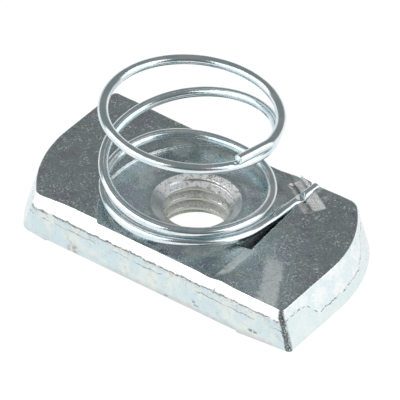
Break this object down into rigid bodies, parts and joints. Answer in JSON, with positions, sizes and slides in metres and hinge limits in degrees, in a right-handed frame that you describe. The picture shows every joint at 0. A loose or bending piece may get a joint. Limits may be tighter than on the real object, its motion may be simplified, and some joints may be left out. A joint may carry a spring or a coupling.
{
  "type": "channel nut with spring",
  "caption": "Plated steel channel nut with a tapped hole, two rounded corners for the quarter turn, and a coil spring staked to its back.",
  "frame": {"origin": "on the axis of the threaded hole, in the plane of the clamping face", "axes": "+X along the nut's length, +Y across its width, +Z out of the clamping face's opposite side, up through the spring"},
  "size_m": [0.037, 0.019, 0.0166],
  "materials": {
    "zinc_plate": "bright zinc plating over pressed steel, with fine scuffs",
    "spring_wire": "bright plated spring wire, smooth and shiny"
  },
  "bodies": {
    "root": {"channel_nut": "zinc_plate", "coil_spring": "spring_wire"}
  },
  "joints": []
}
